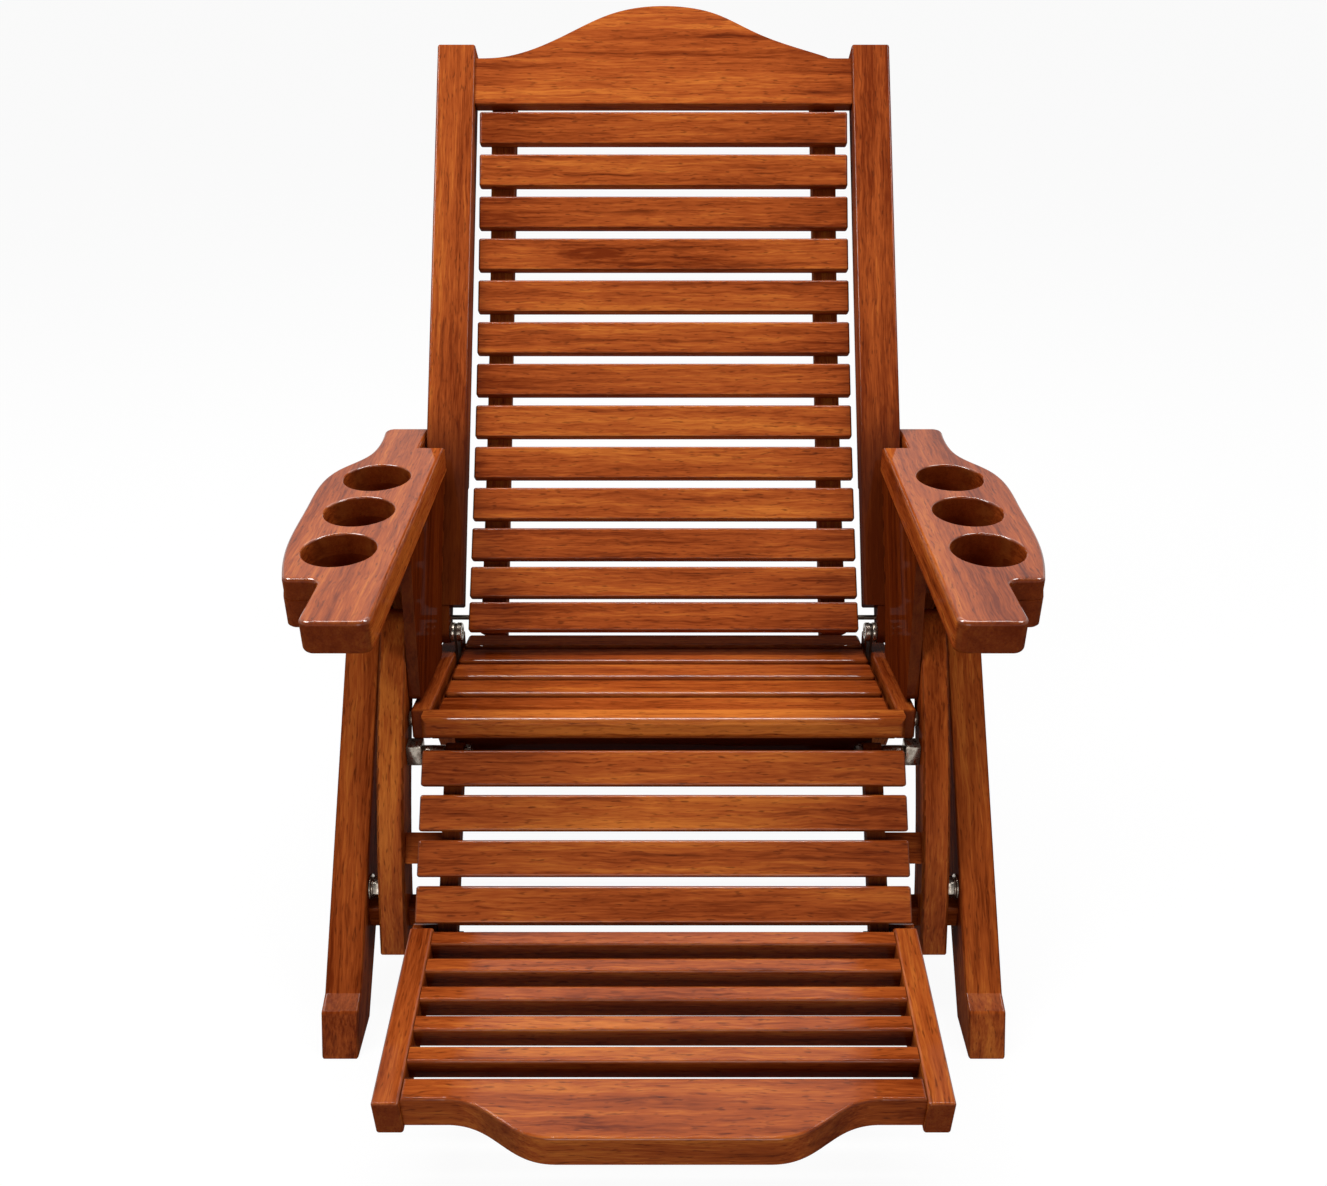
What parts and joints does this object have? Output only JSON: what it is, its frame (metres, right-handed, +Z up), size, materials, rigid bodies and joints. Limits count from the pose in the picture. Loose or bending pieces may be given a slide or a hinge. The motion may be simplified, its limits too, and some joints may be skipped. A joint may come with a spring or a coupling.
{
  "type": "reclining slatted lounge chair",
  "caption": "Slatted varnished-wood lounge chair with a hollow reclining back, level armrests with cup holes, a swinging calf panel and a tipping footrest.",
  "frame": {"origin": "on the floor, under the middle of the chair's bounding box", "axes": "+Z up, +Y from the front of the chair to its back, +X to the viewer's right from the front"},
  "size_m": [0.7924, 1.0812, 0.9833],
  "materials": {
    "seat_wood": "gloss varnish",
    "back_wood": "gloss varnish",
    "arm_wood": "gloss varnish",
    "leg_wood": "gloss varnish",
    "calf_wood": "gloss varnish",
    "foot_wood": "gloss varnish",
    "bolt_steel": "zinc plated",
    "strap_steel": "zinc plated"
  },
  "bodies": {
    "frame": {"front_leg_left": "leg_wood", "front_leg_right": "leg_wood", "strut_left": "leg_wood", "strut_right": "leg_wood", "front_rail": "leg_wood", "leg_spacers": "leg_wood", "calf_stops": "leg_wood", "seat_rail_left": "seat_wood", "seat_rail_right": "seat_wood", "seat_cleat_left": "seat_wood", "seat_cleat_right": "seat_wood", "seat_slats": "seat_wood", "seat_nosing": "seat_wood", "hinge_straps": "strap_steel", "back_pivot_bolts": "bolt_steel", "frame_bolts": "bolt_steel", "spacer_rings": "bolt_steel", "guide_bolts": "bolt_steel", "calf_pivot_bolts": "bolt_steel", "rear_pivot_bolts": "bolt_steel"},
    "back": {"stile_left": "back_wood", "stile_right": "back_wood", "crest_rail": "back_wood", "back_batten_left": "back_wood", "back_batten_right": "back_wood", "back_slat_1": "back_wood", "back_slat_2": "back_wood", "back_slat_3": "back_wood", "back_slat_4": "back_wood", "back_slat_5": "back_wood", "back_slat_6": "back_wood", "back_slat_7": "back_wood", "back_slat_8": "back_wood", "back_slat_9": "back_wood", "back_slat_10": "back_wood", "back_slat_11": "back_wood", "back_slat_12": "back_wood", "back_slat_13": "back_wood", "arm_bolts": "bolt_steel", "back_pins": "bolt_steel"},
    "arm_left": {"arm_board_left": "arm_wood", "cup_block_left": "arm_wood", "rack_left": "arm_wood"},
    "arm_right": {"arm_board_right": "arm_wood", "cup_block_right": "arm_wood", "rack_right": "arm_wood"},
    "calf": {"calf_slats": "calf_wood", "calf_batten_left": "calf_wood", "calf_batten_right": "calf_wood", "foot_pins": "bolt_steel"},
    "foot": {"foot_rail_left": "foot_wood", "foot_rail_right": "foot_wood", "foot_slats": "foot_wood", "foot_board": "foot_wood"},
    "rear": {"rear_leg_left": "leg_wood", "rear_leg_right": "leg_wood", "rear_rail": "leg_wood"}
  },
  "joints": [
    {"name": "back_recline", "type": "hinge", "parent": "frame", "child": "back", "pos_m": [0, 0.03696, 0.30672], "axis": [1, 0, 0], "range_deg": [0, 24]},
    {"name": "arm_left_level", "type": "hinge", "parent": "back", "child": "arm_left", "pos_m": [-0.328, 0.17849, 0.49309], "axis": [1, 0, 0], "range_deg": [-24, 0]},
    {"name": "arm_right_level", "type": "hinge", "parent": "back", "child": "arm_right", "pos_m": [0.328, 0.17849, 0.49309], "axis": [1, 0, 0], "range_deg": [-24, 0]},
    {"name": "calf_swing", "type": "hinge", "parent": "frame", "child": "calf", "pos_m": [0, -0.15607, 0.26511], "axis": [-1, 0, 0], "range_deg": [0, 35]},
    {"name": "foot_tip", "type": "hinge", "parent": "calf", "child": "foot", "pos_m": [0, -0.28664, 0.11626], "axis": [1, 0, 0], "range_deg": [0, 18]},
    {"name": "rear_fold", "type": "hinge", "parent": "frame", "child": "rear", "pos_m": [0, 0.02055, 0.385], "axis": [-1, 0, 0], "range_deg": [0, 34]}
  ],
  "couplings": [
    {"joint": "arm_left_level", "follows": "back_recline", "ratio": -1},
    {"joint": "arm_right_level", "follows": "back_recline", "ratio": -1}
  ]
}
